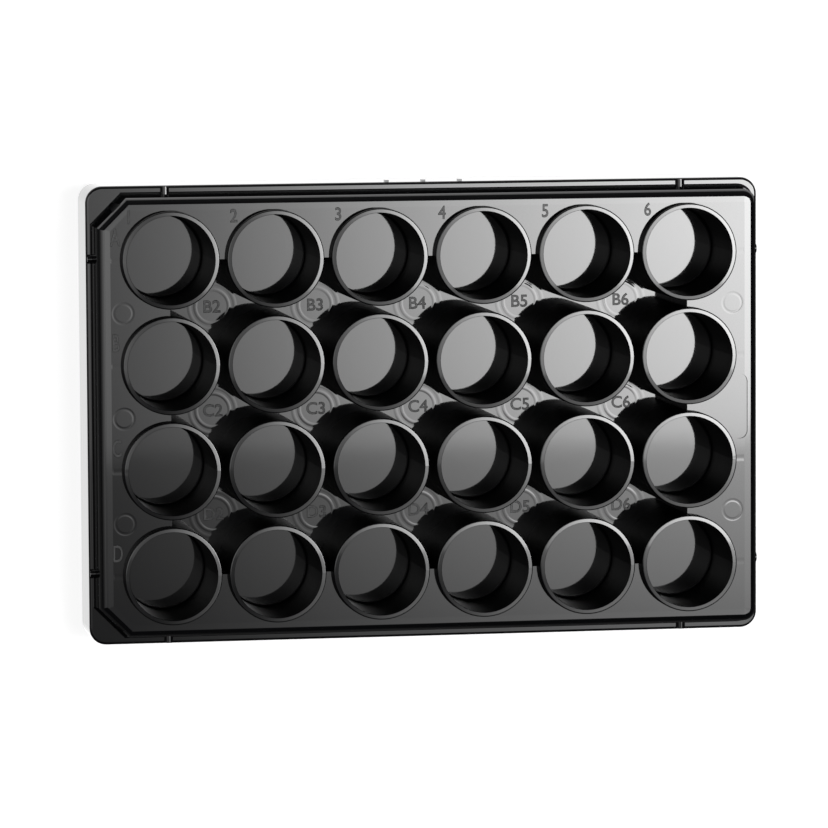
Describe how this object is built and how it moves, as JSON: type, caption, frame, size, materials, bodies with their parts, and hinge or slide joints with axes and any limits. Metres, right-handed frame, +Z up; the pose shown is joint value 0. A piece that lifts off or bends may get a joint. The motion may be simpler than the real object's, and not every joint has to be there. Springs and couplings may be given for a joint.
{
  "type": "well plate",
  "caption": "Black moulded multiwell plate with flat-bottomed round wells, raised rims, bevelled corners and a skirt",
  "frame": {"origin": "centre of the footprint, on the bottom edge of the skirt", "axes": "+X runs along the rows from the first column to the last, +Y runs towards the first row, +Z is up, out of the wells"},
  "size_m": [0.1266, 0.0856, 0.02],
  "materials": {
    "body_black": "glossy black polystyrene with a fine satin deck"
  },
  "bodies": {
    "root": {"well_plate": "body_black"}
  },
  "joints": []
}
